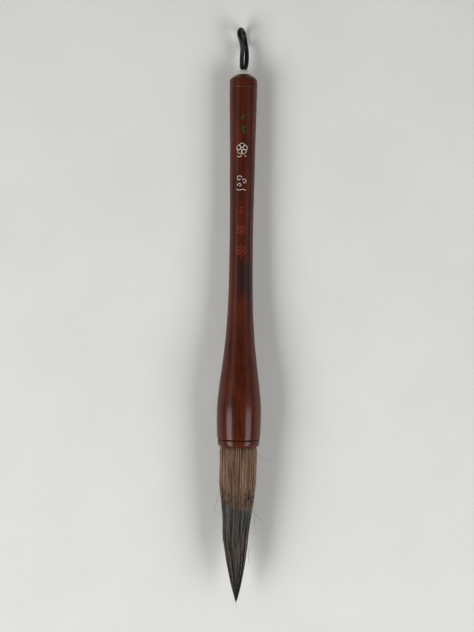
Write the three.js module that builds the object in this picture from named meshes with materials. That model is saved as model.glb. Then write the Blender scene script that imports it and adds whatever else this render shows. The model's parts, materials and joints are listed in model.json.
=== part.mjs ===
// A large calligraphy brush lying on a table: turned wooden handle, hair tuft and hanging loop.
// Millimetres. The brush lies along Y with the hair tip toward -Y, and Z is up.
// Stations along the brush are distances from the hair tip.
import * as THREE from "three";

const SEGMENTS = 32;
const GAP = 0.3;

// Handle
const BULGE_R = 10.66;
const BULGE_START = 88.6;
const BULGE_REST_START = 91.0;
const BULGE_REST_END = 94.6;
const BELL_FRONT = 78.85;
const BELL_FRONT_R = 10.2;
const SOCKET_R = 8.9;
const SOCKET_END = 96.3;
const SOCKET_CONE = 4.2;
const SHAFT_END = 246.9;
const CAP_BORE_R = 3.7;
const CAP_BORE_START = 231.5;

// Rim ring at the mouth
const MOUTH = 75.4;
const MOUTH_R = 8.9;
const RING_BORE_R = 8.6;

// Cap, bush and the loop's legs
const CAP_REST_END = 250.1;
const CAP_R = 6.58;
const CAP_SPIGOT_START = 237.2;
const CAP_TOP = 253.9;
const BUSH_TOP = 256.0;
const BUSH_BORE_R = 1.55;
const BUSH_SPIGOT_R = 2.15;
const BUSH_DEPTH = 4.2;
const KNOT_R = 3.2;

// Tuft
const FLEX = 50.0;
const FLEX_R = 7.92;
const NECK_R = RING_BORE_R - GAP;
const BINDING_START = 85.4;
const BINDING_TURNS = 6;
const THREAD = 0.8;
const HAIR_END = 93.2;
const ROOT_R = 7.7;
const BELLY_SHARE = 0.76;
const CORE_SHARE = 0.44;

// Loop cord
const CORD_D = 2.04;
const CORD_SIDES = 8;
const CORD_STEPS = 76;

// The handle rests on a facet of the bulge and a facet of the cap.
const FLAT = Math.cos(Math.PI / SEGMENTS);
const SLOPE = (BULGE_R - CAP_R) * FLAT / (CAP_REST_END - BULGE_REST_START);
const TILT = Math.atan(SLOPE);
const TAPER = SLOPE / FLAT;
const AXIS_HEIGHT = CAP_R * FLAT * Math.cos(TILT);

function material(name, colour, roughness) {
  const made = new THREE.MeshStandardMaterial({ color: colour, roughness, metalness: 0 });
  made.name = name;
  return made;
}

function turned(name, profile, made) {
  const points = profile.map(([r, s]) => new THREE.Vector2(r, s - CAP_REST_END));
  const turn = Math.PI * 2;
  const shape = new THREE.LatheGeometry(points, SEGMENTS, Math.PI / SEGMENTS, turn);
  const mesh = new THREE.Mesh(shape, made);
  mesh.name = name;
  return mesh;
}

// Widths of the tuft's outside, from the tip to the mouth.
const TUFT = [
  [0, 0], [0.62, 1.4], [1.25, 3.8], [1.9, 6.2], [2.45, 8.6], [2.95, 11], [3.86, 15.8],
  [4.68, 20.6], [5.36, 25.4], [6.0, 30.2], [6.4, 35], [6.7, 39.8], [7.2, 44.6], [FLEX_R, FLEX],
  [8.06, 52.2], [8.4, 54.4], [8.7, 57], [8.86, 60], [8.9, 66], [9.0, 70.5], [8.95, 73.4],
  [8.8, 74.6], [NECK_R, 75.3], [NECK_R, 80], [ROOT_R, 84.4], [ROOT_R, HAIR_END],
];

function tuftRadius(s) {
  const after = TUFT.findIndex((point) => point[1] >= s);
  if (after <= 0) return 0;
  const [r0, s0] = TUFT[after - 1];
  const [r1, s1] = TUFT[after];
  return r0 + ((r1 - r0) * (s - s0)) / (s1 - s0);
}

// A rounded end: part of a ball centred on the flex point, between two shares of the tuft.
function ballEnd(ball, from, to) {
  const steps = 5;
  const points = [];
  for (let i = 0; i <= steps; i += 1) {
    const r = from + ((to - from) * i) / steps;
    points.push([r, FLEX + Math.sqrt(Math.max(ball * ball - r * r, 0))]);
  }
  return points;
}

function stations(from, to) {
  return TUFT.map((point) => point[1]).filter((s) => s > from && s < to);
}

function layer(from, to, share, less) {
  const at = [from, ...stations(from, to), to];
  return at.map((s) => [tuftRadius(s) * share - less, s]);
}

// Where the layer's surface crosses the ball around the flex point, on the root side.
function crossing(ball, share, less) {
  let s = FLEX;
  for (let i = 0; i < 60; i += 1) {
    const r = tuftRadius(s) * share - less;
    s = FLEX + Math.sqrt(Math.max(ball * ball - r * r, 0));
  }
  return s;
}

function handleShaft(wood) {
  const lift = TAPER * (BULGE_REST_END - BULGE_REST_START);
  return turned("handle_shaft", [
    [0, SOCKET_END + SOCKET_CONE],
    [SOCKET_R, SOCKET_END],
    [SOCKET_R, BELL_FRONT],
    [BELL_FRONT_R - 0.25, BELL_FRONT],
    [BELL_FRONT_R, BELL_FRONT + 0.3],
    [10.34, 80.4],
    [10.5, 83],
    [10.6, 85.9],
    [BULGE_R, BULGE_START],
    [BULGE_R, BULGE_REST_START],
    [BULGE_R - lift, BULGE_REST_END],
    [10.38, 97.4],
    [10.1, 100.3],
    [9.8, 103.2],
    [9.48, 106.1],
    [9.1, 109],
    [8.72, 111.8],
    [8.34, 114.7],
    [7.99, 117.6],
    [7.67, 120.5],
    [7.36, 123.4],
    [7.08, 126.2],
    [6.85, 129.1],
    [6.64, 132],
    [6.44, 134.9],
    [6.16, 140.6],
    [5.95, 146.4],
    [5.8, 152.2],
    [5.7, 160],
    [5.64, 170],
    [5.62, 178],
    [5.68, 186.7],
    [5.82, 197],
    [5.97, 206],
    [6.1, 218],
    [6.24, 227],
    [6.38, 234],
    [6.52, 240],
    [6.6, 244.3],
    [6.6, SHAFT_END - 0.3],
    [6.35, SHAFT_END],
    [CAP_BORE_R, SHAFT_END],
    [CAP_BORE_R, CAP_BORE_START],
    [0, CAP_BORE_START - 1.6],
  ], wood);
}

function rimRing(wood) {
  const back = BELL_FRONT - GAP;
  return turned("rim_ring", [
    [RING_BORE_R, MOUTH],
    [MOUTH_R, MOUTH],
    [9.4, 75.62],
    [9.75, 76.15],
    [9.98, 77],
    [10.12, back - 0.3],
    [9.9, back],
    [RING_BORE_R, back],
    [RING_BORE_R, MOUTH],
  ], wood);
}

function endCap(wood) {
  const start = SHAFT_END + GAP;
  const bore = BUSH_BORE_R;
  const seat = BUSH_SPIGOT_R + GAP;
  const spigot = CAP_BORE_R - GAP;
  const shelf = CAP_TOP - BUSH_DEPTH - GAP;
  return turned("end_cap", [
    [bore, CAP_SPIGOT_START],
    [spigot - 0.4, CAP_SPIGOT_START],
    [spigot, CAP_SPIGOT_START + 0.4],
    [spigot, start],
    [CAP_R - 0.2, start],
    [CAP_R + TAPER * (CAP_REST_END - start - 0.3), start + 0.3],
    [CAP_R, CAP_REST_END],
    [6.46, 250.9],
    [6.12, 251.8],
    [5.56, 252.5],
    [4.87, 253.02],
    [3.95, 253.5],
    [3.1, 253.78],
    [seat, CAP_TOP],
    [seat, shelf],
    [bore, shelf],
    [bore, CAP_SPIGOT_START],
  ], wood);
}

function loopBush(cream) {
  const base = CAP_TOP + GAP;
  return turned("loop_bush", [
    [BUSH_BORE_R, CAP_TOP - BUSH_DEPTH],
    [BUSH_SPIGOT_R, CAP_TOP - BUSH_DEPTH],
    [BUSH_SPIGOT_R, base],
    [2.75, base],
    [2.86, base + 0.3],
    [2.74, base + 0.75],
    [2.42, base + 1.25],
    [2.08, BUSH_TOP - 0.15],
    [1.86, BUSH_TOP],
    [BUSH_BORE_R, BUSH_TOP],
    [BUSH_BORE_R, CAP_TOP - BUSH_DEPTH],
  ], cream);
}

function loopKnot(cord) {
  const low = CAP_BORE_START + GAP;
  const waist = 2.75;
  return turned("loop_knot", [
    [0, low],
    [2.2, low],
    [2.95, low + 0.5],
    [KNOT_R, low + 1.1],
    [2.95, low + 1.7],
    [waist, low + 2.1],
    [2.95, low + 2.5],
    [KNOT_R, low + 3.1],
    [2.95, low + 3.7],
    [2.2, low + 4.2],
    [0, low + 4.2],
  ], cord);
}

function loopLegs(cord) {
  const r = BUSH_BORE_R - GAP;
  const low = CAP_BORE_START + GAP + 4.2 + GAP;
  return turned("loop_legs", [[0, low], [r, low], [r, BUSH_TOP], [0, BUSH_TOP]], cord);
}

function hairLayers(hair, dark) {
  const ball = FLEX_R;
  const cup = FLEX_R + GAP;
  const cover = 1;
  const inside = BELLY_SHARE;
  const parts = [];
  const tipOuter = layer(0, FLEX, cover, 0);
  const tipInner = layer(7, FLEX, inside, 0).slice(0, -1).reverse();
  const tipArc = ballEnd(ball, FLEX_R, ballR(ball, inside, 0));
  parts.push(turned("hair_cover_tip", [
    ...tipOuter, ...tipArc.slice(1), ...tipInner, [0, 6],
  ], dark));
  const bellyTipOuter = layer(24, FLEX, inside, GAP).slice(0, -1);
  const bellyTipInner = layer(24, FLEX, CORE_SHARE, 0).slice(0, -1).reverse();
  const bellyArc = ballEnd(ball, ballR(ball, inside, GAP), ballR(ball, CORE_SHARE, 0));
  parts.push(turned("hair_belly_tip", [
    ...bellyTipOuter, ...bellyArc, ...bellyTipInner, bellyTipOuter[0],
  ], dark));
  const coreTip = layer(12, FLEX, CORE_SHARE, GAP).slice(0, -1);
  const coreArc = ballEnd(ball, ballR(ball, CORE_SHARE, GAP), 0);
  parts.push(turned("hair_core_tip", [[0, 12], ...coreTip, ...coreArc], dark));
  parts.push(rootLayer("hair_cover_root", cup, 1, 0, inside, 0, hair));
  parts.push(rootLayer("hair_belly_root", cup, inside, GAP, CORE_SHARE, 0, hair));
  parts.push(coreRoot(cup, hair));
  return parts;
}

// Radius at which a layer meets the ball, on the root side.
function ballR(ball, share, less) {
  return tuftRadius(crossing(ball, share, less)) * share - less;
}

function rootLayer(name, cup, share, less, innerShare, innerLess, made) {
  const start = crossing(cup, share, less);
  const innerStart = crossing(cup, innerShare, innerLess);
  const outer = layer(start, HAIR_END, share, less);
  const inner = layer(innerStart, HAIR_END, innerShare, innerLess).reverse();
  const arc = ballEnd(cup, inner[inner.length - 1][0], outer[0][0]);
  return turned(name, [...outer, ...inner, ...arc.slice(1, -1), outer[0]], made);
}

function coreRoot(cup, made) {
  const start = crossing(cup, CORE_SHARE, GAP);
  const outer = layer(start, HAIR_END, CORE_SHARE, GAP);
  const arc = ballEnd(cup, 0, outer[0][0]);
  return turned("hair_core_root", [...arc.slice(0, -1), ...outer, [0, HAIR_END]], made);
}

function rootBinding(thread) {
  const inner = ROOT_R + GAP;
  const profile = [[inner, BINDING_START]];
  for (let i = 0; i < BINDING_TURNS; i += 1) {
    const s = BINDING_START + i * THREAD;
    profile.push([inner + 0.22, s], [inner + 0.55, s + THREAD * 0.3]);
    profile.push([inner + 0.55, s + THREAD * 0.7]);
  }
  const end = BINDING_START + BINDING_TURNS * THREAD;
  profile.push([inner + 0.22, end], [inner, end], [inner, BINDING_START]);
  return turned("root_binding", profile, thread);
}

function rootResin(resin) {
  const r = SOCKET_R - GAP;
  const low = HAIR_END + GAP;
  const high = SOCKET_END - GAP;
  const rise = (SOCKET_CONE * r) / SOCKET_R;
  return turned("root_resin", [[0, low], [r, low], [r, high], [0, high + rise]], resin);
}

// One cord from the bush out, around the fold and back to the bush.
const LOOP_ROUTE = [
  [-0.6, 0.3, 5.6], [-0.93, 1.6, 5.76], [-0.95, 3.2, 5.98], [-0.95, 5.2, 6.2], [-0.86, 7.4, 6.4],
  [-0.75, 9.5, 6.8], [-0.9, 11.4, 7.36], [-1.24, 13.2, 7.88], [-1.84, 15, 8.18], [-2.3, 16.9, 7.96],
  [-2.16, 18.4, 7.1], [-1.78, 19.3, 5.78], [-1.24, 19.4, 4.36], [-0.62, 18.7, 2.78], [-0.12, 17.5, 1.62],
  [0.28, 15.8, 1.12], [0.58, 14, 1.14], [0.86, 12.2, 1.84], [1.16, 10.6, 3.14], [1.32, 9, 4.52],
  [1.42, 7.2, 5.56], [1.42, 5.4, 6.14], [1.3, 3.6, 6.52], [1.08, 1.8, 6.92], [0.76, 0.3, 7.16],
];

function hangingLoop(cord, mouth) {
  const points = LOOP_ROUTE.map(([x, y, z]) => new THREE.Vector3(x, y + mouth, z));
  const path = new THREE.CatmullRomCurve3(points, false, "centripetal");
  const side = new THREE.Shape();
  for (let i = 0; i < CORD_SIDES; i += 1) {
    const angle = ((i + 0.5) * Math.PI * 2) / CORD_SIDES;
    const x = (Math.cos(angle) * CORD_D) / 2;
    const y = (Math.sin(angle) * CORD_D) / 2;
    if (i === 0) side.moveTo(x, y);
    else side.lineTo(x, y);
  }
  side.closePath();
  const shape = new THREE.ExtrudeGeometry(side, { steps: CORD_STEPS, extrudePath: path });
  const mesh = new THREE.Mesh(shape, cord);
  mesh.name = "hanging_loop";
  return mesh;
}

function brush() {
  const rosewood = material("lacquered_rosewood", 0x4a1f17, 0.25);
  const capWood = material("lacquered_cap_wood", 0x45201a, 0.25);
  const ringWood = material("lacquered_ring_wood", 0x4e2219, 0.28);
  const cream = material("cream_bone", 0xd9d2c2, 0.45);
  const hair = material("brown_hair", 0x64523f, 0.8);
  const dark = material("inked_hair", 0x3c362f, 0.85);
  const cord = material("black_cord", 0x161514, 0.5);
  const thread = material("linen_thread", 0xb9a98a, 0.9);
  const resin = material("amber_resin", 0x8a5a24, 0.3);

  const lying = new THREE.Group();
  lying.rotation.x = -TILT;
  lying.position.z = AXIS_HEIGHT;
  lying.add(handleShaft(rosewood));
  lying.add(rimRing(ringWood));
  lying.add(endCap(capWood));
  lying.add(loopBush(cream));
  lying.add(loopKnot(cord));
  lying.add(loopLegs(cord));
  lying.add(...hairLayers(hair, dark));
  lying.add(rootBinding(thread));
  lying.add(rootResin(resin));
  lying.updateMatrixWorld(true);

  const group = new THREE.Group();
  const box = new THREE.Box3().setFromObject(lying, true);
  const middle = (box.min.y + box.max.y) / 2;
  lying.position.y = -middle;
  group.add(lying);
  const mouth = (BUSH_TOP - CAP_REST_END) * Math.cos(TILT) - middle;
  group.add(hangingLoop(cord, mouth));
  group.updateMatrixWorld(true);
  return group;
}

const group = brush();

export default group;
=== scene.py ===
import json
import math

import bpy
import numpy as np
from mathutils import Matrix, Vector, noise


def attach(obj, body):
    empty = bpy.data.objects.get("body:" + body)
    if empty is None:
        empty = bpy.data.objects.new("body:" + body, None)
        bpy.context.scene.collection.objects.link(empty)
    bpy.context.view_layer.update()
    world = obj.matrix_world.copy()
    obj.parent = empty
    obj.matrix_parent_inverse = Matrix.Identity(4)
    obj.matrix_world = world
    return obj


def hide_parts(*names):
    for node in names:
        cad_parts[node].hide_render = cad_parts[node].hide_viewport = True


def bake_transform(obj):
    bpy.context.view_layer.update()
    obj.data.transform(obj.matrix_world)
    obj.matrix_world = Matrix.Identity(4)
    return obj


MM = 0.001
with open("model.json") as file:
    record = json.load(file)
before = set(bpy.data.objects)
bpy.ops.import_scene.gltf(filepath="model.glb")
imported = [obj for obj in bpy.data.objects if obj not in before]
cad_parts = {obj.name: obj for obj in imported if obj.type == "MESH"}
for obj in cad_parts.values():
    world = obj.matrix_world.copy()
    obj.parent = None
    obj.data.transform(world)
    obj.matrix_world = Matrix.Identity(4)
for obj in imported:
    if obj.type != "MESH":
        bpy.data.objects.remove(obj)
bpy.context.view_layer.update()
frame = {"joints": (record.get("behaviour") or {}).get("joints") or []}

# ---------------------------------------------------------------- the brush's own axis
# Stations along the brush are millimetres from the hair tip, as in the CAD source.
FLEX_S = 50.0
JOINTS = {j["name"]: j for j in frame["joints"]}
FLEX = Vector(JOINTS["tuft_flex"]["pos_m"])
SWING = Vector(JOINTS["loop_swing"]["pos_m"])
SIDE = Vector((1, 0, 0))
ALONG = (SWING - FLEX).normalized()
UP = SIDE.cross(ALONG)


def station(s, x=0.0, z=0.0):
    """The row-frame point at a station, x millimetres to the side of the axis and z above it."""
    return FLEX + ALONG * ((s - FLEX_S) * MM) + SIDE * (x * MM) + UP * (z * MM)


def axis_matrix():
    turn = Matrix((SIDE, ALONG, UP)).transposed().to_4x4()
    return Matrix.Translation(station(0)) @ turn


AXIS = axis_matrix()


def curve_through(table):
    """A smooth function through (s, value) pairs that never overshoots them."""
    x = np.array([p[0] for p in table], float)
    y = np.array([p[1] for p in table], float)
    h = np.diff(x)
    d = np.diff(y) / h
    m = np.zeros(len(x))
    for i in range(1, len(x) - 1):
        if d[i - 1] * d[i] > 0:
            w1 = 2 * h[i] + h[i - 1]
            w2 = h[i] + 2 * h[i - 1]
            m[i] = (w1 + w2) / (w1 / d[i - 1] + w2 / d[i])
    m[0], m[-1] = d[0], d[-1]

    def at(v):
        v = np.clip(np.asarray(v, float), x[0], x[-1])
        i = np.clip(np.searchsorted(x, v) - 1, 0, len(h) - 1)
        t = (v - x[i]) / h[i]
        a = (1 + 2 * t) * (1 - t) ** 2 * y[i] + t * (1 - t) ** 2 * h[i] * m[i]
        return a + t * t * (3 - 2 * t) * y[i + 1] + t * t * (t - 1) * h[i] * m[i + 1]

    return at


# ---------------------------------------------------------------- dimensions, millimetres
# Each table is (station, value): the handle's radius, the tuft's radius, and how far the tuft leans in x.
HANDLE = [
    (79.1, 10.2), (80.4, 10.34), (83, 10.5), (85.9, 10.6), (88.6, 10.66), (91, 10.66), (94.6, 10.57),
    (97.4, 10.38), (100.3, 10.1), (103.2, 9.8), (106.1, 9.48), (109, 9.1), (111.8, 8.72), (114.7, 8.34),
    (117.6, 7.99), (120.5, 7.67), (123.4, 7.36), (126.2, 7.08), (129.1, 6.85), (132, 6.64), (134.9, 6.44),
    (140.6, 6.16), (146.4, 5.95), (152.2, 5.8), (160, 5.7), (170, 5.64), (178, 5.62), (186.7, 5.68),
    (197, 5.82), (206, 5.97), (218, 6.1), (227, 6.24), (234, 6.38), (240, 6.52), (244.3, 6.6), (246.6, 6.6),
]
TUFT = [
    (0, 0.05), (1.4, 0.62), (3.8, 1.25), (6.2, 1.9), (8.6, 2.45), (11, 2.95), (15.8, 3.86), (20.6, 4.68),
    (25.4, 5.36), (30.2, 6.0), (35, 6.4), (39.8, 6.72), (44.6, 7.2), (50, 7.92), (52.2, 8.1), (54.4, 8.42),
    (57, 8.72), (60, 8.88), (66, 8.92), (70.5, 8.98), (73.4, 8.93), (74.7, 8.75), (76, 8.35), (80, 8.25),
]
DRIFT = [(0, -0.12), (12, -0.26), (22, -0.5), (32, -0.68), (45, -0.22), (58, -0.1), (70, 0), (100, 0)]
handle_radius = curve_through(HANDLE)
tuft_radius = curve_through(TUFT)
tuft_drift = curve_through(DRIFT)

SHAFT_END = 246.9
SHAFT_FACE = SHAFT_END + 0.15
CAP_BORE_R = 3.7
BELL_FRONT = 78.85
SOCKET_R = 8.9
SOCKET_END = 96.3
MOUTH = 75.4
RING_BORE_R = 8.6
CAP_START = 247.2
SEAM = 247.1
BUSH_TOP = 256.0
BUSH_BORE_R = 1.55
BUSH_SPIGOT_R = 2.15
CORD_R = 1.02
HAIR_END = 93.2
HAIR_ROOT_R = 7.7
TUFT_TABLE_END = 80.0
SWELL_END = 74.5


# ---------------------------------------------------------------- mesh makers
def new_object(name, verts, faces, sharp=40):
    mesh = bpy.data.meshes.new(name)
    mesh.from_pydata(verts, [], faces)
    mesh.validate()
    mesh.shade_smooth()
    mesh.set_sharp_from_angle(angle=math.radians(sharp))
    obj = bpy.data.objects.new(name, mesh)
    bpy.context.scene.collection.objects.link(obj)
    return obj


def turned(name, rings, segments=112):
    """A closed turned body from a closed loop of (radius, station) pairs, or one that starts and ends on the axis."""
    verts, faces, rows = [], [], []
    for r, s in rings:
        if r <= 1e-6:
            rows.append([len(verts)])
            verts.append((0, s * MM, 0))
            continue
        rows.append(list(range(len(verts), len(verts) + segments)))
        for i in range(segments):
            a = 2 * math.pi * i / segments
            verts.append((r * math.sin(a) * MM, s * MM, r * math.cos(a) * MM))
    pairs = list(zip(rows, rows[1:]))
    if len(rows[0]) > 1:
        pairs.append((rows[-1], rows[0]))
    for a, b in pairs:
        for i in range(segments):
            j = (i + 1) % segments
            if len(a) == 1:
                faces.append((a[0], b[j], b[i]))
            elif len(b) == 1:
                faces.append((a[i], a[j], b[0]))
            else:
                faces.append((a[i], a[j], b[j], b[i]))
    obj = new_object(name, verts, faces)
    obj.matrix_world = AXIS
    return obj


def sampled(table_function, start, end, step):
    count = max(2, int(round((end - start) / step)))
    return [(float(table_function(s)), float(s)) for s in np.linspace(start, end, count)]


def frames_along(points):
    """The two directions across a line at each of its points, with the least twist."""
    p = np.asarray(points, float)
    t = np.gradient(p, axis=0)
    t /= np.linalg.norm(t, axis=1)[:, None]
    n = np.cross(t[0], (0.3, 0.2, 0.93))
    n /= np.linalg.norm(n)
    normals = [n]
    for i in range(1, len(p)):
        n = n - t[i] * np.dot(n, t[i])
        n /= np.linalg.norm(n)
        normals.append(n)
    normals = np.array(normals)
    return normals, np.cross(t, normals)


def tube(name, points, radii, sides=16, ridge=0.0, ridges=0, lay=0.0):
    """A closed tube in the row frame, which can be fluted like a laid cord. Points and radii are in metres."""
    p = np.asarray(points, float)
    radii = np.broadcast_to(np.asarray(radii, float), (len(p),))
    n, b = frames_along(p)
    run = np.r_[0, np.cumsum(np.linalg.norm(np.diff(p, axis=0), axis=1))]
    a = np.arange(sides) * 2 * math.pi / sides
    wave = 1 + ridge * np.abs(np.sin(ridges / 2 * (a[None, :] + lay * run[:, None])))
    r = radii[:, None] * wave
    ring = p[:, None, :] + r[..., None] * (
        np.cos(a)[None, :, None] * n[:, None, :] + np.sin(a)[None, :, None] * b[:, None, :]
    )
    verts = [tuple(v) for v in ring.reshape(-1, 3)]
    faces = []
    for i in range(len(p) - 1):
        for k in range(sides):
            q = (k + 1) % sides
            faces.append((i * sides + k, i * sides + q, (i + 1) * sides + q, (i + 1) * sides + k))
    faces.append(tuple(reversed(range(sides))))
    faces.append(tuple(range((len(p) - 1) * sides, len(p) * sides)))
    return new_object(name, verts, faces, sharp=60)


def smooth_path(points, per=8):
    """A Catmull-Rom line through the points."""
    p = [np.array(q, float) for q in points]
    p = [2 * p[0] - p[1], *p, 2 * p[-1] - p[-2]]
    out = []
    for i in range(1, len(p) - 2):
        for k in range(per):
            t = k / per
            a, b, c, d = p[i - 1], p[i], p[i + 1], p[i + 2]
            out.append(
                0.5 * (2 * b + (c - a) * t + (2 * a - 5 * b + 4 * c - d) * t * t + (3 * b - a - 3 * c + d) * t ** 3)
            )
    out.append(p[-2])
    return np.array(out)


# ---------------------------------------------------------------- materials
def srgb(r, g, b):
    return [((v / 255 + 0.055) / 1.055) ** 2.4 if v > 10 else v / 255 / 12.92 for v in (r, g, b)] + [1.0]


class Looks:
    """A material's node tree, with short ways to add to it."""

    def __init__(self, name, roughness=0.5, **fixed):
        self.material = bpy.data.materials.new(name)
        self.material.use_nodes = True
        self.tree = self.material.node_tree
        self.tree.nodes.clear()
        self.out = self.tree.nodes.new("ShaderNodeOutputMaterial")
        self.shader = self.tree.nodes.new("ShaderNodeBsdfPrincipled")
        self.tree.links.new(self.shader.outputs[0], self.out.inputs[0])
        self.shader.inputs["Roughness"].default_value = roughness
        for key, value in fixed.items():
            self.shader.inputs[key.replace("_", " ")].default_value = value

    def plug(self, socket, value):
        if isinstance(value, bpy.types.NodeSocket):
            self.tree.links.new(value, socket)
        else:
            socket.default_value = value

    def node(self, kind, settings=None, **inputs):
        made = self.tree.nodes.new(kind)
        for key, value in (settings or {}).items():
            setattr(made, key, value)
        for key, value in inputs.items():
            self.plug(made.inputs[key.replace("_", " ")], value)
        return made

    def math(self, op, a, b=0.0, clamp=False):
        made = self.tree.nodes.new("ShaderNodeMath")
        made.operation, made.use_clamp = op, clamp
        self.plug(made.inputs[0], a)
        self.plug(made.inputs[1], b)
        return made.outputs[0]

    def own_mm(self):
        """The piece's own coordinates, in millimetres."""
        place = self.node("ShaderNodeTexCoord").outputs["Object"]
        scaled = self.node("ShaderNodeVectorMath", {"operation": "SCALE"}, Vector=place, Scale=1000.0)
        return scaled.outputs[0]

    def attribute(self, name, output="Fac"):
        return self.node("ShaderNodeAttribute", {"attribute_name": name}).outputs[output]

    def stretched(self, vector, x, y, z):
        made = self.node("ShaderNodeMapping", Vector=vector)
        made.inputs["Scale"].default_value = (x, y, z)
        return made.outputs[0]

    def noise(self, vector, scale=1.0, detail=4.0, rough=0.5, distort=0.0):
        made = self.node("ShaderNodeTexNoise", Vector=vector, Scale=scale, Detail=detail, Roughness=rough)
        made.inputs["Distortion"].default_value = distort
        return made.outputs["Fac"]

    def step(self, value, low, high, to_low=0.0, to_high=1.0):
        made = self.node("ShaderNodeMapRange", {"interpolation_type": "SMOOTHSTEP", "clamp": True})
        self.plug(made.inputs["Value"], value)
        for key, number in (("From Min", low), ("From Max", high), ("To Min", to_low), ("To Max", to_high)):
            self.plug(made.inputs[key], number)
        return made.outputs["Result"]

    def mix(self, factor, a, b):
        made = self.node("ShaderNodeMix", {"data_type": "RGBA", "clamp_factor": True})
        self.plug(made.inputs[0], factor)
        self.plug(made.inputs[6], a)
        self.plug(made.inputs[7], b)
        return made.outputs[2]

    def ramp(self, value, *stops):
        """A colour ramp through (position, colour) stops."""
        made = self.tree.nodes.new("ShaderNodeValToRGB")
        self.plug(made.inputs[0], value)
        points = made.color_ramp.elements
        for element, (at, colour) in zip((points[0], points[1]), (stops[0], stops[-1])):
            element.position, element.color = at, colour
        for at, colour in stops[1:-1]:
            points.new(at).color = colour
        return made.outputs[0]

    def parts(self, vector):
        made = self.node("ShaderNodeSeparateXYZ", Vector=vector)
        return made.outputs

    def bump(self, height, distance, strength=1.0):
        made = self.node("ShaderNodeBump", Height=height, Distance=distance, Strength=strength)
        self.plug(self.shader.inputs["Normal"], made.outputs[0])

    def colour(self, value):
        self.plug(self.shader.inputs["Base Color"], value)

    def roughness(self, value):
        self.plug(self.shader.inputs["Roughness"], value)


# The dark stain on the shaft: where it starts, is full, begins to fade and ends.
STAIN = (143.5, 150.5, 160.0, 167.5)


def wood(name, stained=False):
    """Lacquered wood with a long grain, fine pores, a light seam at the cap and, on the shaft, a dark stain."""
    look = Looks(name, 0.5, Coat_Weight=0.66, Coat_Roughness=0.19, Coat_IOR=1.38, Specular_IOR_Level=0.02)
    p = look.own_mm()
    grain = look.noise(look.stretched(p, 1.1, 0.035, 1.1), 1.0, 6.0, 0.62, 0.6)
    fine = look.noise(look.stretched(p, 5.5, 0.16, 5.5), 1.0, 3.0, 0.6)
    cloud = look.noise(look.stretched(p, 0.16, 0.045, 0.16), 1.0, 3.0, 0.5)
    pores = look.noise(look.stretched(p, 9.0, 0.55, 9.0), 1.0, 2.0, 0.5)
    tone = look.mix(look.step(grain, 0.34, 0.68), srgb(58, 22, 12), srgb(82, 33, 19))
    tone = look.mix(look.step(cloud, 0.42, 0.66, 0.0, 0.55), tone, srgb(92, 36, 19))
    tone = look.mix(look.step(fine, 0.5, 0.75, 0.0, 0.35), tone, srgb(46, 17, 10))
    tone = look.mix(look.step(pores, 0.66, 0.74, 0.0, 0.5), tone, srgb(26, 10, 7))
    xyz = look.parts(p)
    if stained:
        ragged = look.noise(look.stretched(p, 0.5, 0.16, 0.5), 1.0, 4.0)
        ragged = look.math("MULTIPLY", look.math("SUBTRACT", ragged, 0.5), 9.0)
        along = look.math("ADD", xyz["Y"], ragged)
        low = look.step(along, STAIN[0], STAIN[1])
        high = look.step(along, STAIN[2], STAIN[3], 1.0, 0.0)
        side = look.step(look.math("ADD", xyz["X"], look.math("MULTIPLY", ragged, 0.25)), -2.9, 0.6)
        top = look.step(xyz["Z"], -3.5, 1.0)
        patch = look.math("MULTIPLY", look.math("MULTIPLY", low, high), look.math("MULTIPLY", side, top))
        tone = look.mix(look.math("MULTIPLY", patch, 0.85), tone, srgb(40, 28, 27))
    seam = look.math("ABSOLUTE", look.math("SUBTRACT", xyz["Y"], SEAM))
    tone = look.mix(look.step(seam, 0.1, 0.5, 0.3, 0.0), tone, srgb(110, 74, 60))
    look.colour(tone)
    look.bump(look.math("ADD", look.math("MULTIPLY", grain, 0.6), look.math("MULTIPLY", pores, -0.4)), 0.00002, 0.35)
    look.roughness(look.step(fine, 0.3, 0.8, 0.42, 0.55))
    return look.material


def bone():
    look = Looks("cream_bone", 0.35, Subsurface_Weight=0.15, Coat_Weight=0.4, Coat_Roughness=0.2)
    look.shader.inputs["Subsurface Radius"].default_value = (0.002, 0.0015, 0.001)
    p = look.own_mm()
    streak = look.noise(look.stretched(p, 2.2, 0.5, 2.2), 1.0, 5.0, 0.6)
    dirt = look.noise(p, 1.6, 4.0, 0.6)
    tone = look.mix(look.step(streak, 0.35, 0.7), srgb(196, 194, 178), srgb(224, 222, 208))
    tone = look.mix(look.step(dirt, 0.55, 0.8, 0.0, 0.4), tone, srgb(150, 140, 118))
    look.colour(tone)
    look.bump(streak, 0.00003, 0.3)
    look.roughness(look.step(dirt, 0.3, 0.8, 0.3, 0.5))
    return look.material


def cord_look():
    look = Looks("black_waxed_cord", 0.36, Coat_Weight=0.1, Coat_Roughness=0.2, Specular_IOR_Level=0.2)
    p = look.own_mm()
    fibre = look.noise(p, 6.0, 4.0, 0.65)
    wear = look.noise(p, 0.9, 3.0, 0.5)
    tone = look.mix(look.step(fibre, 0.35, 0.75), srgb(8, 8, 8), srgb(22, 21, 20))
    tone = look.mix(look.step(wear, 0.55, 0.75, 0.0, 0.5), tone, srgb(32, 31, 29))
    look.colour(tone)
    look.bump(fibre, 0.00008, 0.4)
    look.roughness(look.step(wear, 0.35, 0.7, 0.28, 0.5))
    return look.material


# Where the ink stops, and how much nearer the tip that is on the right than in the middle.
INK_EDGE = 46.2
INK_TILT = 2.0


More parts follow.
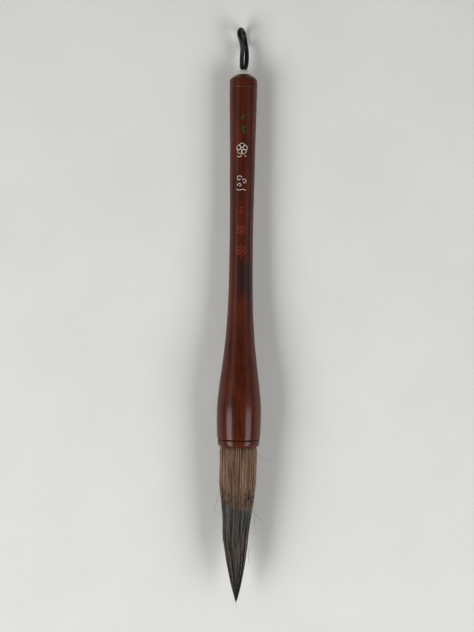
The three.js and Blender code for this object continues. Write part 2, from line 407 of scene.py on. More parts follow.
def hair_look(name, strands):
    """Brown hair that turns to ink-stained grey toward the tip."""
    look = Looks(name, 0.6, Specular_IOR_Level=0.25)
    s = look.attribute("hair_s")
    tone = look.attribute("hair_tone")
    way = look.attribute("hair_way", "Vector")
    locks = look.noise(look.stretched(way, 7.0, 7.0, 0.03), 1.0, 2.0, 0.5)
    streak = look.noise(look.stretched(way, 17.0, 17.0, 0.045), 1.0, 4.0, 0.62)
    fleck = look.noise(look.stretched(way, 20.0, 20.0, 0.26), 1.0, 3.0, 0.6)
    own = look.math("MULTIPLY", look.math("SUBTRACT", tone, 0.5), 0.3 if strands else 0.1)
    shade = look.math("ADD", look.math("MULTIPLY", locks, 0.3), look.math("MULTIPLY", streak, 0.7))
    shade = look.math("ADD", shade, own)
    brown = look.ramp(
        shade, (0.34, srgb(58, 37, 26)), (0.44, srgb(99, 71, 54)), (0.52, srgb(137, 107, 86)),
        (0.64, srgb(180, 153, 127)),
    )
    brown = look.mix(look.step(locks, 0.5, 0.68, 0.0, 0.4), brown, srgb(122, 80, 57))
    brown = look.mix(look.step(fleck, 0.6, 0.78, 0.0, 0.55), brown, srgb(58, 40, 31))
    grey = look.ramp(
        shade, (0.39, srgb(28, 28, 31)), (0.48, srgb(50, 51, 54)), (0.54, srgb(74, 74, 77)), (0.61, srgb(122, 116, 108))
    )
    black = look.ramp(
        shade, (0.44, srgb(13, 13, 12)), (0.505, srgb(29, 28, 27)), (0.555, srgb(51, 48, 45)), (0.6, srgb(102, 93, 83)),
        (0.67, srgb(172, 154, 134)),
    )
    black = look.mix(look.step(s, 1.0, 26.0, 0.62, 0.0), black, srgb(26, 26, 27))
    inked = look.mix(look.step(s, 26.0, 45.0), black, grey)
    x = look.parts(way)["X"]
    wide = look.noise(look.stretched(way, 5.0, 5.0, 0.0), 1.0, 2.0, 0.5)
    narrow = look.noise(look.stretched(way, 22.0, 22.0, 0.0), 1.0, 2.0, 0.6)
    ragged = look.math("ADD", look.math("MULTIPLY", wide, 4.0), look.math("MULTIPLY", narrow, 5.0))
    edge = look.math("ADD", look.math("MULTIPLY", x, -INK_TILT), look.math("SUBTRACT", ragged, 4.5))
    edge = look.math("ADD", edge, look.math("MULTIPLY", look.math("SUBTRACT", tone, 0.5), 2.0))
    distance = look.math("SUBTRACT", s, look.math("ADD", edge, INK_EDGE))
    ink = look.step(distance, -0.35, 0.35, 1.0, 0.0)
    splash = look.noise(look.stretched(way, 6.5, 6.5, 0.42), 1.0, 3.0, 0.65)
    near = look.math("MULTIPLY", look.step(s, 46.0, 48.5), look.step(s, 52.5, 57.5, 1.0, 0.0))
    flank = look.step(look.math("ABSOLUTE", x), 0.25, 0.55)
    spots = look.math("MULTIPLY", look.step(splash, 0.5, 0.54), look.math("MULTIPLY", near, flank))
    brown = look.mix(look.math("MULTIPLY", spots, 0.92), brown, srgb(34, 29, 27))
    soiled = look.math("MULTIPLY", look.step(distance, 0.5, 10.0, 0.75, 0.0), look.step(narrow, 0.4, 0.58))
    brown = look.mix(soiled, brown, srgb(62, 50, 44))
    look.colour(look.mix(ink, brown, inked))
    look.roughness(look.step(streak, 0.3, 0.7, 0.5, 0.68))
    if not strands:
        look.bump(streak, 0.0003, 0.7)
    return look.material


def thread_look():
    look = Looks("linen_thread", 0.8, Sheen_Weight=0.3)
    p = look.own_mm()
    twist = look.noise(p, 9.0, 3.0, 0.6)
    look.colour(look.mix(look.step(twist, 0.35, 0.7), srgb(150, 132, 100), srgb(204, 190, 158)))
    look.bump(twist, 0.00008, 0.5)
    return look.material


def resin_look():
    look = Looks("amber_resin", 0.22, Coat_Weight=0.5, Coat_Roughness=0.1)
    p = look.own_mm()
    cloud = look.noise(p, 0.5, 5.0, 0.6, 0.8)
    look.colour(look.mix(look.step(cloud, 0.35, 0.7), srgb(92, 52, 20), srgb(160, 104, 48)))
    look.bump(cloud, 0.0002, 0.3)
    look.roughness(look.step(cloud, 0.3, 0.7, 0.15, 0.4))
    return look.material


def paint_look(name, light, dark):
    look = Looks(name, 0.6, Specular_IOR_Level=0.3)
    p = look.own_mm()
    worn = look.noise(p, 3.2, 4.0, 0.65)
    look.colour(look.mix(look.step(worn, 0.36, 0.66), dark, light))
    look.bump(worn, 0.00005, 0.4)
    look.roughness(look.step(worn, 0.3, 0.7, 0.5, 0.75))
    return look.material


def dress(obj, material):
    obj.data.materials.clear()
    obj.data.materials.append(material)
    return obj


WOOD = wood("lacquered_rosewood", stained=True)
RING_WOOD = wood("lacquered_ring_wood")
CAP_WOOD = wood("lacquered_cap_wood")
BONE = bone()
CORD = cord_look()
HAIR = hair_look("brush_hair", strands=False)
STRANDS = hair_look("brush_hair_strands", strands=True)


# ---------------------------------------------------------------- turned pieces
def make_shaft():
    outer = sampled(handle_radius, 79.2, 246.55, 0.8)
    rings = [
        (0, SOCKET_END + 4.2), (SOCKET_R, SOCKET_END), (SOCKET_R, BELL_FRONT), (9.9, BELL_FRONT),
        (10.08, 78.9), (10.17, 79.02), *outer, (6.6, 246.8), (6.56, 246.92), (6.5, 247.0), (6.4, SHAFT_FACE),
        (CAP_BORE_R, SHAFT_FACE), (CAP_BORE_R, 231.5), (0, 229.9),
    ]
    obj = turned("handle", rings)
    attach(dress(obj, WOOD), "handle")
    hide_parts("handle_shaft")


def make_ring():
    shape = curve_through([
        (75.4, 8.98), (75.55, 9.3), (75.8, 9.55), (76.2, 9.79), (76.7, 9.93), (77.4, 10.04), (78.2, 10.1),
    ])
    rings = [
        (RING_BORE_R + 0.12, MOUTH), (8.82, MOUTH - 0.02), *sampled(shape, 75.4, 78.2, 0.14),
        (10.08, 78.36), (10.0, 78.48), (9.86, 78.55), (RING_BORE_R, 78.55), (RING_BORE_R, MOUTH + 0.12),
    ]
    obj = turned("rim_collar", rings)
    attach(dress(obj, RING_WOOD), "handle")
    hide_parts("rim_ring")


def make_cap():
    dome = curve_through([
        (247.5, 6.62), (249.4, 6.61), (250.2, 6.59), (250.8, 6.53), (251.2, 6.42), (251.6, 6.17), (252.1, 5.65),
        (252.6, 4.98), (253.1, 4.18), (253.5, 3.42), (253.75, 2.8), (253.84, 2.46),
    ])
    rings = [
        (BUSH_BORE_R, 237.2), (3.0, 237.2), (3.4, 237.6), (3.4, CAP_START), (6.33, CAP_START), (6.5, 247.24),
        (6.6, 247.36), *sampled(dome, 247.5, 253.84, 0.16), (2.45, 249.4), (BUSH_BORE_R, 249.4),
    ]
    obj = turned("cap", rings)
    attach(dress(obj, CAP_WOOD), "handle")
    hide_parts("end_cap")


def make_bush():
    side = curve_through([(253.92, 2.92), (254.3, 2.96), (254.7, 2.84), (255.2, 2.56), (255.65, 2.22), (255.92, 1.98)])
    rings = [
        (BUSH_BORE_R, 249.7), (BUSH_SPIGOT_R, 249.7), (BUSH_SPIGOT_R, 253.9), (2.86, 253.86),
        *sampled(side, 253.92, 255.92, 0.1), (1.84, BUSH_TOP), (1.68, BUSH_TOP), (BUSH_BORE_R, 255.9),
    ]
    obj = turned("loop_collar", rings, 64)
    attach(dress(obj, BONE), "handle")
    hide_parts("loop_bush")


# ---------------------------------------------------------------- the loop
# A cord's flutes: their depth as a share of the radius, their number, and their twist in radians per metre.
FLUTES = (0.05, 8, 900.0)
# In millimetres: the cord is thin for the first part of its run inside the bush, then thickens over the second.
MOUTH_CORD_R = 0.70
MOUTH_RUN = 1.2
TAPER_RUN = 2.2
LEG_R = 0.6
LEG_ENDS = (236.3, 255.3)
KNOT_CORD_R = 0.78
KNOT_SIZE = 0.76
KNOT_S = 233.9
KNOT_DEPTH = 0.95
LOOP_MOUTH = station(BUSH_TOP).y
# (side x, distance beyond the bush, height above the table)
LOOP_ROUTE = [
    (-0.6, 0.3, 5.6), (-0.93, 1.6, 5.76), (-0.95, 3.2, 5.98), (-0.95, 5.2, 6.2), (-0.86, 7.4, 6.4),
    (-0.75, 9.5, 6.8), (-0.9, 11.4, 7.36), (-1.24, 13.2, 7.88), (-1.84, 15, 8.18), (-2.3, 16.9, 7.96),
    (-2.16, 18.4, 7.1), (-1.78, 19.3, 5.78), (-1.24, 19.4, 4.36), (-0.62, 18.7, 2.78), (-0.12, 17.5, 1.62),
    (0.28, 15.8, 1.12), (0.58, 14, 1.14), (0.86, 12.2, 1.84), (1.16, 10.6, 3.14), (1.32, 9, 4.52),
    (1.42, 7.2, 5.56), (1.42, 5.4, 6.14), (1.3, 3.6, 6.52), (1.08, 1.8, 6.92), (0.76, 0.3, 7.16),
]


def make_loop():
    """The hanging loop, from inside the bush's mouth round and back into it."""
    mouth_in = [(-0.52, -1.5, 6.0), (-0.5, -0.4, 5.85)]
    mouth_out = [(0.6, -0.4, 6.95), (0.52, -1.5, 6.8)]
    route = [(x * MM, LOOP_MOUTH + y * MM, z * MM) for x, y, z in [*mouth_in, *LOOP_ROUTE, *mouth_out]]
    line = smooth_path(route, 9)
    run = np.r_[0, np.cumsum(np.linalg.norm(np.diff(line, axis=0), axis=1))] / MM
    from_end = np.minimum(run, run[-1] - run)
    grown = np.clip((from_end - MOUTH_RUN) / TAPER_RUN, 0, 1)
    radii = (MOUTH_CORD_R + (CORD_R - MOUTH_CORD_R) * grown) * MM
    obj = tube("loop", line, radii, 20, *FLUTES)
    dress(obj, CORD)
    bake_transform(obj)
    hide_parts("hanging_loop")


def make_legs():
    """The loop's two legs, squeezed side by side from the bush down to the knot."""
    parts = []
    for side in (-1, 1):
        points = []
        for s in np.linspace(*LEG_ENDS, 60):
            spread = 1 if s > 238 else 1.2
            points.append(tuple(station(s, side * LEG_R * spread, 0.12 * math.sin(s))))
        parts.append(tube("loop_leg", points, LEG_R * MM, 14, *FLUTES))
    obj = joined(parts, "loop_legs_pair")
    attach(dress(obj, CORD), "handle")
    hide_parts("loop_legs")


def make_knot():
    """An overhand knot: a trefoil of cord."""
    t = np.linspace(0, 2 * math.pi, 140, endpoint=False)
    x = (np.sin(t) + 2 * np.sin(2 * t)) * KNOT_SIZE
    z = (np.cos(t) - 2 * np.cos(2 * t)) * KNOT_SIZE
    y = KNOT_S - np.sin(3 * t) * KNOT_DEPTH
    points = [tuple(station(b, a, c)) for a, b, c in zip(x, y, z)]
    obj = tube("stopper_knot", [*points, points[0]], KNOT_CORD_R * MM, 14, *FLUTES)
    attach(dress(obj, CORD), "handle")
    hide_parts("loop_knot")


def joined(parts, name):
    """One object from several, which it replaces."""
    verts, faces = [], []
    for part in parts:
        base = len(verts)
        verts += [tuple(part.matrix_world @ v.co) for v in part.data.vertices]
        faces += [tuple(base + i for i in f.vertices) for f in part.data.polygons]
        mesh = part.data
        bpy.data.objects.remove(part)
        bpy.data.meshes.remove(mesh)
    return new_object(name, verts, faces, 60)


# ---------------------------------------------------------------- hair
def hair_attributes(obj, s, tone, theta):
    """What hair_look reads at each point: its station, its hair's own tone, and its place round the tuft."""
    mesh = obj.data
    mesh.attributes.new("hair_s", "FLOAT", "POINT").data.foreach_set("value", s.astype(np.float32))
    mesh.attributes.new("hair_tone", "FLOAT", "POINT").data.foreach_set("value", tone.astype(np.float32))
    way = np.stack([np.sin(theta), np.cos(theta), s], 1).astype(np.float32)
    mesh.attributes.new("hair_way", "FLOAT_VECTOR", "POINT").data.foreach_set("vector", way.ravel())


def clumps(theta, s):
    """How far the tuft's surface swells and dips, in millimetres, as the hairs gather in locks."""
    out = np.empty(len(theta))
    for i, (a, b) in enumerate(zip(theta, s)):
        near = Vector((math.sin(a) * 4.0, math.cos(a) * 4.0, b * 0.02))
        fine = Vector((math.sin(a) * 14, math.cos(a) * 14, b * 0.03))
        out[i] = noise.noise(near) * 0.26 + noise.noise(fine) * 0.3
    return out


def swelling(theta, s, r):
    """The locks' swell for a tuft of radius r: less toward the tip, and none in the mouth."""
    return clumps(theta.ravel(), s.ravel()).reshape(s.shape) * np.clip(r / 5, 0.1, 1) * (s < SWELL_END)


def row_frame(x, s, z):
    """Points of the brush's own frame, in millimetres, as an array of row-frame points."""
    base = np.array(station(0))
    return (
        base
        + np.outer(x, np.array(SIDE)) * MM
        + np.outer(s, np.array(ALONG)) * MM
        + np.outer(z, np.array(UP)) * MM
    )


LAYER_STEP = 0.7
ROOT_RUN = 4.5
FRONT_RUN = 1.5


def make_layer(name, share, inset, start, segments, replaced):
    """One closed layer of hair, from its front station to its root."""
    stations = np.linspace(start, HAIR_END, int((HAIR_END - start) / LAYER_STEP))
    theta = np.arange(segments) * 2 * math.pi / segments
    grid_s = np.repeat(stations, segments)
    grid_t = np.tile(theta, len(stations))
    root = np.clip((grid_s - TUFT_TABLE_END) / ROOT_RUN, 0, 1)
    r = tuft_radius(np.minimum(grid_s, TUFT_TABLE_END)) * (1 - root) + HAIR_ROOT_R * root
    swell = swelling(grid_t, grid_s, r)
    front = np.clip((grid_s - start) / FRONT_RUN, 0.02, 1) ** 0.5
    r = np.maximum((r * share - inset + swell) * front, 0.03)
    x = r * np.sin(grid_t) + tuft_drift(grid_s)
    z = r * np.cos(grid_t)
    points = row_frame(x, grid_s, z)
    verts = [tuple(v) for v in points]
    faces = []
    for i in range(len(stations) - 1):
        for k in range(segments):
            q = (k + 1) % segments
            faces.append((i * segments + k, i * segments + q, (i + 1) * segments + q, (i + 1) * segments + k))
    faces.append(tuple(reversed(range(segments))))
    faces.append(tuple(range((len(stations) - 1) * segments, len(stations) * segments)))
    obj = new_object(name, verts, faces, 80)
    hair_attributes(obj, grid_s, np.full(len(grid_s), 0.35), grid_t)
    dress(obj, HAIR)
    bend(obj)
    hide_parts(*replaced)


def bend(obj):
    """Bakes a hair piece's placement into its mesh."""
    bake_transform(obj)


def strand_mesh(name, x, s, z, width, tone, theta):
    """Many thin three-sided hairs in one mesh. x, s, z and width are arrays of hairs by points."""
    count, points = s.shape
    centre = row_frame(x.ravel(), s.ravel(), z.ravel()).reshape(count, points, 3)
    t = np.gradient(centre, axis=1)
    t /= np.linalg.norm(t, axis=2)[..., None] + 1e-12
    out = np.stack([np.sin(theta), np.zeros_like(theta), np.cos(theta)], 2)
    n = out - t * (out * t).sum(2)[..., None]
    n /= np.linalg.norm(n, axis=2)[..., None] + 1e-12
    b = np.cross(t, n)
    rings = []
    for k in range(3):
        a = 2 * math.pi * k / 3
        rings.append(centre + (math.cos(a) * n + math.sin(a) * b) * (width * MM)[..., None])
    verts = np.stack(rings, 2).reshape(-1, 3)
    base = (np.arange(count)[:, None] * points + np.arange(points - 1)[None, :]).ravel() * 3
    faces = []
    for k in range(3):
        q = (k + 1) % 3
        faces.append(np.stack([base + k, base + q, base + 3 + q, base + 3 + k], 1))
    quads = np.concatenate(faces)
    first = np.arange(count) * points * 3
    last = first + (points - 1) * 3
    ends = [(int(i + 2), int(i + 1), int(i)) for i in first] + [(int(i), int(i + 1), int(i + 2)) for i in last]
    obj = new_object(name, [tuple(v) for v in verts], [tuple(map(int, f)) for f in quads] + ends, 180)
    hair_attributes(obj, np.repeat(s.ravel(), 3), np.repeat(tone.ravel(), 3), np.repeat(theta.ravel(), 3))
    return obj


STRAND_ROOT = 77.0
STRAND_HELD = 75.0
LONG_SHARE = 0.75


def make_strands(name, count, points, seed, lift, width_low, width_high):
    """Single hairs on and just under the tuft's surface, from the mouth to near the tip or, for some, less far."""
    rng = np.random.default_rng(seed)
    angle = rng.uniform(0, 2 * math.pi, count)
    reach = np.where(rng.random(count) < LONG_SHARE, rng.gamma(1.6, 1.6, count), rng.uniform(2, 30, count))
    depth = rng.uniform(0, 1.0, count) ** 1.5 * 0.5
    t = np.linspace(0, 1, points)[None, :]
    s = STRAND_ROOT + (reach[:, None] - STRAND_ROOT) * t
    sway_size = rng.normal(0, 0.03, count)[:, None]
    sway_turns = t * math.pi * rng.uniform(1, 3, count)[:, None]
    sway = sway_size * np.sin(sway_turns + rng.uniform(0, 6, count)[:, None])
    cross = rng.normal(0, 0.05, count)[:, None] * t
    theta = angle[:, None] + sway + cross
    r = tuft_radius(s)
    swell = swelling(theta, s, r)
    loose = rng.normal(0, 0.05, count)[:, None] * np.clip((74 - s) / 30, 0, 1)
    held = np.clip(r - depth[:, None] + swell + lift + loose, 0.02, None)
    held = np.where(s > STRAND_HELD, np.minimum(held, RING_BORE_R - 0.25), held)
    x = held * np.sin(theta) + tuft_drift(s)
    z = held * np.cos(theta)
    thin = np.clip(1 - t ** 3 * 0.75, 0.2, 1)
    width = rng.uniform(width_low, width_high, count)[:, None] * thin
    tone = np.repeat(rng.random(count)[:, None], points, 1)
    obj = strand_mesh(name, x, s, z, width, tone, theta)
    dress(obj, STRANDS)
    bend(obj)


STRAY_R = 0.075
# The (side x, station, height) points of each stray hair, in the brush's own frame.
STRAYS = [
    [(8.6, 72.5, 1.5), (10.6, 70.6, 3.0), (13.4, 69.3, 4.2), (16.2, 68.5, 4.8), (18.6, 68.1, 4.6)],
    [(-7.6, 56.0, 3.0), (-9.0, 52.4, 3.8), (-10.2, 48.6, 4.2), (-11.0, 44.0, 3.9)],
    [(6.4, 45.6, 2.5), (8.2, 43.4, 3.2), (10.0, 41.6, 3.6), (11.9, 40.2, 3.7)],
    [(-5.8, 34.0, 2.2), (-6.8, 31.5, 2.4), (-7.4, 28.6, 2.6)],
    [(-0.4, 3.0, 0.3), (-0.3, 0.6, 0.5), (0.2, -1.6, 0.3), (0.4, -2.9, 0.1)],
    [(-0.2, 6.0, 0.8), (-0.9, 2.4, 1.0), (-1.3, -0.4, 0.8)],
    [(6.0, 60.0, 6.6), (6.9, 52.0, 7.4), (7.9, 44.0, 7.0), (8.4, 38.0, 6.0)],
    [(-4.2, 66.0, 8.2), (-5.6, 58.0, 8.8), (-7.6, 49.0, 8.2), (-8.0, 42.0, 6.8)],
    [(5.2, 28.0, 2.0), (5.6, 23.0, 2.6), (5.4, 18.0, 2.8)],
    [(0.5, 30.0, -6.0), (0.9, 24.0, -6.2), (1.0, 18.0, -5.6)],
    [(-6.6, 40.0, -3.0), (-7.2, 34.0, -3.4), (-7.0, 29.0, -3.6)],
]


def make_strays():
    points = 16
    hairs = []
    for line in STRAYS:
        fine = smooth_path(line, 12)
        pick = np.linspace(0, len(fine) - 1, points)
        hairs.append([np.interp(pick, np.arange(len(fine)), fine[:, k]) for k in range(3)])
    x, s, z = np.array(hairs).transpose(1, 0, 2)
    theta = np.arctan2(x, z)
    width = np.full(s.shape, STRAY_R) * np.linspace(1, 0.5, points)[None, :]
    tone = np.full(s.shape, 0.35)
    obj = strand_mesh("stray_hairs", x, s, z, width, tone, theta)
    dress(obj, STRANDS)
    bend(obj)


# ---------------------------------------------------------------- inside the bell
BINDING_START = 85.7
BINDING_R = 8.27
THREAD_R = 0.262
THREAD_STEP = 0.53


def make_binding():
    """Thread wound round the root of the hair, each turn touching the last."""
    turns, per = 8, 48
    t = np.arange(turns * per + 1) / per
    around = t * 2 * math.pi
    points = row_frame(BINDING_R * np.sin(around), BINDING_START + t * THREAD_STEP, BINDING_R * np.cos(around))
    obj = tube("root_thread", points, THREAD_R * MM, 8, 0.08, 4, 4000.0)
    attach(dress(obj, thread_look()), "handle")
    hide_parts("root_binding")


def make_resin():
    rings = [
        (0, 93.5), (6.5, 93.5), (8.3, 93.62), (8.55, 93.9), (8.6, 94.6), (8.58, 95.6), (8.5, 96.0),
        (5.4, 97.5), (2.6, 98.9), (0, 100.1),
    ]
    obj = turned("resin_plug", rings, 72)
    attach(dress(obj, resin_look()), "handle")
    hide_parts("root_resin")


# ---------------------------------------------------------------- engraved and painted marks
def on_handle(x, s, lift):
    """A point above the handle's upper side, x millimetres round from the top."""
    r = float(handle_radius(s)) + lift
    x = max(-r * 0.98, min(r * 0.98, x))
    angle = x / r
    return AXIS @ Vector((r * math.sin(angle) * MM, s * MM, r * math.cos(angle) * MM))


STRIP_DEPTH = 0.08
STRIP_CROWN = 0.012


def strokes(name, lines, lift, widen, material):
    """Thin closed strips let into the handle's upper side: each line is ([(x, station), ...], width)."""
    verts, faces = [], []
    for points, width in lines:
        flat = smooth_path([(x, s, 0) for x, s in points], 6)[:, :2]
        t = np.gradient(flat, axis=0)
        t /= np.linalg.norm(t, axis=1)[:, None] + 1e-12
        n = np.stack([-t[:, 1], t[:, 0]], 1)
        end = np.clip(np.minimum(np.arange(len(flat)), np.arange(len(flat))[::-1]) / 2.0, 0.45, 1)
        half = (width / 2 * end + widen)[:, None]
        flat[0] -= t[0] * widen
        flat[-1] += t[-1] * widen
        base = len(verts)
        for (x, s), (nx, ny), (h,) in zip(flat, n, half):
            verts.append(tuple(on_handle(x - nx * h, s - ny * h, lift)))
            verts.append(tuple(on_handle(x, s, lift + STRIP_CROWN)))
            verts.append(tuple(on_handle(x + nx * h, s + ny * h, lift)))
            verts.append(tuple(on_handle(x, s, lift - STRIP_DEPTH)))
        for i in range(len(flat) - 1):
            a = base + i * 4
            for k in range(4):
                q = (k + 1) % 4
                faces.append((a + k, a + 4 + k, a + 4 + q, a + q))
        faces.append((base, base + 1, base + 2, base + 3))
        faces.append(tuple(range(len(verts) - 1, len(verts) - 5, -1)))
    obj = new_object(name, verts, faces, 80)
    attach(dress(obj, material), "handle")


def petal(cx, cs, angle, length, width):
    """The outline of one petal, as a closed line."""
    c, d = math.cos(angle), math.sin(angle)
    shape = [(0.2, 0), (0.55, 0.5), (0.9, 0.36), (1.0, 0), (0.9, -0.36), (0.55, -0.5), (0.2, 0)]
    out = []
    for a, b in shape:
        u, v = a * length, b * width
        out.append((cx + u * c - v * d, cs + u * d + v * c))
    return out


def blossom(cx, cs, size, turn):
    """Five petals and the rays between them."""
    lines = [(petal(cx, cs, turn + k * 2 * math.pi / 5, size, size * 0.95), 0.36) for k in range(5)]
    for k in range(5):
        a = turn + (k + 0.5) * 2 * math.pi / 5
        ray = [(cx + r * math.cos(a), cs + r * math.sin(a)) for r in (size * 0.12, size * 0.42)]
        lines.append((ray, 0.28))
    return lines


def leaf(cx, cs, angle, length, width):
    """A single short stroke, slightly bowed."""
    c, d = math.cos(angle) * length, math.sin(angle) * length
    bow = 0.1 * math.sin(angle)
    return ([(cx, cs), (cx + c * 0.5 - bow, cs + d * 0.5), (cx + c, cs + d)], width)


def scroll(cx, cs, size, turn, side):
    """One curl of a cloud, as an open line."""
    out = []
    for k in range(15):
        a = turn + side * k * 0.42
        r = size * (1 - 0.055 * k)
        out.append((cx + r * math.cos(a), cs + r * math.sin(a)))
    return out


# Painted groove shade: a darker strip just under the paint, wider than each stroke on every side, so that a dark rim of
# painted shade shows round it where the engraved groove's walls would be. Below: its height above the handle and its
# extra width, then the paint's height, in millimetres.
GROOVE_SHADE_LIFT = 0.012
GROOVE_SHADE_WIDEN = 0.08
PAINT_LIFT = 0.03


def make_marks():
    """Ornaments down the handle: leaf sprigs, a blossom, cloud curls, three short strokes and two rosettes."""
    green, white, red = [], [], []
    green.append(([(0.45, 224.9), (0.15, 227.6), (0.4, 229.4)], 0.34))
    for cs, side, tilt in ((228.6, 1, 0.9), (227.6, -1, 0.7), (226.2, 1, 0.6)):
        green.append(leaf(0.3, cs - 1.1, math.pi / 2 - side * tilt, 2.0, 0.5))
    green.append(([(0.35, 231.4), (0.1, 233.0), (0.3, 234.5)], 0.34))
    for cs, side, tilt in ((234.0, 1, 0.9), (233.0, -1, 0.9)):
        green.append(leaf(0.2, cs - 1.1, math.pi / 2 - side * tilt, 1.7, 0.5))
    white += [(line, 0.25) for line, _ in blossom(-0.3, 217.8, 2.6, 0.3)]
    white.append(([(-0.1, 214.9), (-1.5, 213.9), (-2.7, 214.4)], 0.26))
    white.append(([(0.9, 214.6), (2.0, 214.2)], 0.26))
    white.append((scroll(-1.4, 203.6, 1.5, 0.4, 1), 0.27))
    white.append((scroll(1.0, 202.2, 1.3, 2.6, -1), 0.27))
    white.append((scroll(-1.2, 200.4, 1.15, 3.4, -1), 0.26))
    white.append(([(-3.0, 198.6), (-1.3, 198.1), (0.3, 198.5), (2.0, 198.0)], 0.28))
    # Open fault: these three stacked strokes can be read as a written character. This loop can go.
    for cs, half in ((189.6, 1.2), (188.4, 0.8), (187.3, 1.4)):
        red.append(([(-half - 0.3, cs), (0, cs + 0.2), (half - 0.3, cs)], 0.28))
    for cs, size in ((179.4, 2.0), (169.3, 2.2)):
        for k in range(4):
            a = k * math.pi / 2 + math.pi / 4
            red.append((petal(-0.3, cs, a, size, size * 0.8), 0.26))
        red.append(([(-0.3, cs + size * 1.1), (-0.3, cs + size * 1.6)], 0.28))
        red.append(([(-0.3, cs - size * 1.1), (-0.3, cs - size * 1.6)], 0.28))
    # Painted shade: a dark strip under every stroke shows as a rim round it and stands in for the shaded walls of the
    # engraved groove, which is not cut into the handle.
    groove_shade = paint_look("painted_groove_shade", srgb(44, 17, 12), srgb(30, 11, 8))
    strokes("mark_painted_groove_shade", green + white + red, GROOVE_SHADE_LIFT, GROOVE_SHADE_WIDEN, groove_shade)
    for name, lines, light, dark in (
        ("green", green, srgb(34, 82, 40), srgb(26, 52, 28)),
        ("white", white, srgb(236, 230, 224), srgb(186, 170, 160)),
        ("red", red, srgb(172, 44, 26), srgb(120, 32, 22)),
    ):
        strokes("mark_" + name, lines, PAINT_LIFT, 0.0, paint_look(name + "_paint", light, dark))


# ---------------------------------------------------------------- floor, light and camera
def floor_look():
    look = Looks("pale_table", 0.75, Specular_IOR_Level=0.2)
    p = look.own_mm()
    patches = look.noise(p, 0.02, 4.0, 0.6)
    speck = look.noise(p, 0.6, 3.0, 0.6)
    tone = look.mix(look.step(patches, 0.3, 0.7), (0.745, 0.745, 0.722, 1), (0.775, 0.775, 0.752, 1))
    tone = look.mix(look.step(speck, 0.4, 0.8, 0.0, 0.08), tone, (0.7, 0.7, 0.68, 1))
    look.colour(tone)
    return look.material


FLOOR_HALF = 5.0


def make_floor():
    half = FLOOR_HALF
    corners = [(-half, -half, 0), (half, -half, 0), (half, half, 0), (-half, half, 0)]
    obj = new_object("table_top", corners, [(0, 1, 2, 3)])
    obj.data.materials.append(floor_look())


def lamp(name, place, target, width, length, power):
    """A rectangular lamp that faces its target, with its long side as near to the brush's direction as it goes."""
    data = bpy.data.lights.new(name, "AREA")
    data.shape, data.size, data.size_y, data.energy = "RECTANGLE", width, length, power
    obj = bpy.data.objects.new(name, data)
    bpy.context.scene.collection.objects.link(obj)
    obj.location = place
    away = (Vector(place) - Vector(target)).normalized()
    across = Vector((0, 1, 0)).cross(away).normalized()
    long_way = away.cross(across)
    obj.rotation_euler = Matrix((across, long_way, away)).transposed().to_euler()
    return obj


# The lights, in metres and degrees: a soft pair in front, a panel on each side of the brush with a faint one behind
# it, a thin strip on the left, and a dim room.
LAMP_AWAY = 2.2
LAMP_SIZE = 0.85
LAMP_LIFT = 32.0
LAMP_TURN = 45.0
PANEL = (0.90, -0.31, 0.74)
PANEL_WIDE = 0.6
PANEL_LONG = 0.58
FILL_Y = 0.12
FILL_LONG = 0.28
FILL_SHARE = 0.03
STRIP = (-0.86, 0.1, 0.84)
ROOM_LIGHT = 0.2
ROOM_OVERHEAD = 0.06


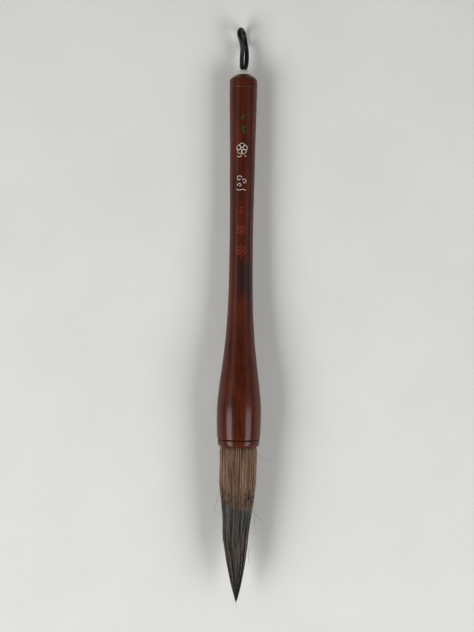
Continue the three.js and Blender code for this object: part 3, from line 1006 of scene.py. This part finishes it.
def make_lights():
    lift, turn = math.radians(LAMP_LIFT), math.radians(LAMP_TURN)
    for name, side, power, glow in (("left", -1, 13.2, 6.9), ("right", 1, 10.7, 5.7)):
        place = (
            side * math.sin(turn) * math.cos(lift) * LAMP_AWAY,
            -math.cos(turn) * math.cos(lift) * LAMP_AWAY,
            math.sin(lift) * LAMP_AWAY,
        )
        lamp("lamp_" + name, place, (0, 0, 0), LAMP_SIZE, LAMP_SIZE, power)
        x, y, z = PANEL
        lamp("panel_" + name, (side * x, y, z), (0, y, 0), PANEL_WIDE, PANEL_LONG, glow)
        lamp("fill_" + name, (side * x, FILL_Y, z), (0, FILL_Y, 0), PANEL_WIDE, FILL_LONG, FILL_SHARE * glow)
    lamp("strip_left", STRIP, (0, STRIP[1], 0), 0.1, 1.4, 0.5)
    world = bpy.data.worlds.new("studio")
    world.use_nodes = True
    tree = world.node_tree
    way = tree.nodes.new("ShaderNodeTexCoord").outputs["Generated"]
    parts = tree.nodes.new("ShaderNodeSeparateXYZ")
    tree.links.new(way, parts.inputs[0])
    fade = tree.nodes.new("ShaderNodeMapRange")
    fade.interpolation_type = "SMOOTHSTEP"
    tree.links.new(parts.outputs["Z"], fade.inputs["Value"])
    for key, number in (("From Min", 0.45), ("From Max", 0.95), ("To Min", ROOM_LIGHT), ("To Max", ROOM_OVERHEAD)):
        fade.inputs[key].default_value = number
    room = tree.nodes["Background"]
    room.inputs[0].default_value = (1.0, 0.995, 0.98, 1)
    tree.links.new(fade.outputs[0], room.inputs[1])
    bpy.context.scene.world = world
    bpy.context.scene.view_settings.view_transform = "Standard"


# The camera, in millimetres and degrees.
CAMERA_HIGH = 850.0
CAMERA_SHIFT = 30.3
SHOWN_HEIGHT = 303.7
AIM_S = 138.0
AIM_SIDE = -1.56
AIM_HIGH = 9.0
LEAN = 0.8


def make_camera():
    """Above the brush, a little toward its loop end, and turned so that the brush leans slightly in the picture."""
    lean = math.radians(LEAN)
    up = Vector((-math.sin(lean), math.cos(lean), 0))
    right = Vector((math.cos(lean), math.sin(lean), 0))
    centre = station(AIM_S)
    target = Vector((centre.x, centre.y, AIM_HIGH * MM)) + right * (AIM_SIDE * MM)
    foot = target + up * (CAMERA_SHIFT * MM)
    place = Vector((foot.x, foot.y, (CAMERA_HIGH + AIM_HIGH) * MM))
    back = (place - target).normalized()
    across = up.cross(back).normalized()
    camera = bpy.data.cameras.new("camera")
    obj = bpy.data.objects.new("camera", camera)
    bpy.context.scene.collection.objects.link(obj)
    obj.location = place
    obj.rotation_euler = Matrix((across, back.cross(across), back)).transposed().to_euler()
    camera.sensor_fit = "AUTO"
    camera.sensor_width = 36.0
    camera.lens = 36.0 * (place - target).length / (SHOWN_HEIGHT * MM)
    camera.clip_start = 0.01
    camera.dof.use_dof = False
    bpy.context.scene.camera = obj


make_camera()
make_loop()
make_shaft()
make_ring()
make_cap()
make_bush()
make_legs()
make_knot()
make_layer("hair_cover", 0.97, 0.28, 1.2, 168, ("hair_cover_root", "hair_cover_tip"))
make_layer("hair_belly", 0.72, 0.3, 24.0, 96, ("hair_belly_root", "hair_belly_tip"))
make_layer("hair_core", 0.42, 0.3, 12.0, 64, ("hair_core_root", "hair_core_tip"))
make_strands("hair_strands_outer", 1300, 20, 11, -0.16, 0.06, 0.13)
make_strands("hair_strands_under", 700, 16, 12, -0.3, 0.1, 0.17)
make_strays()
make_binding()
make_resin()
make_marks()
make_floor()
make_lights()
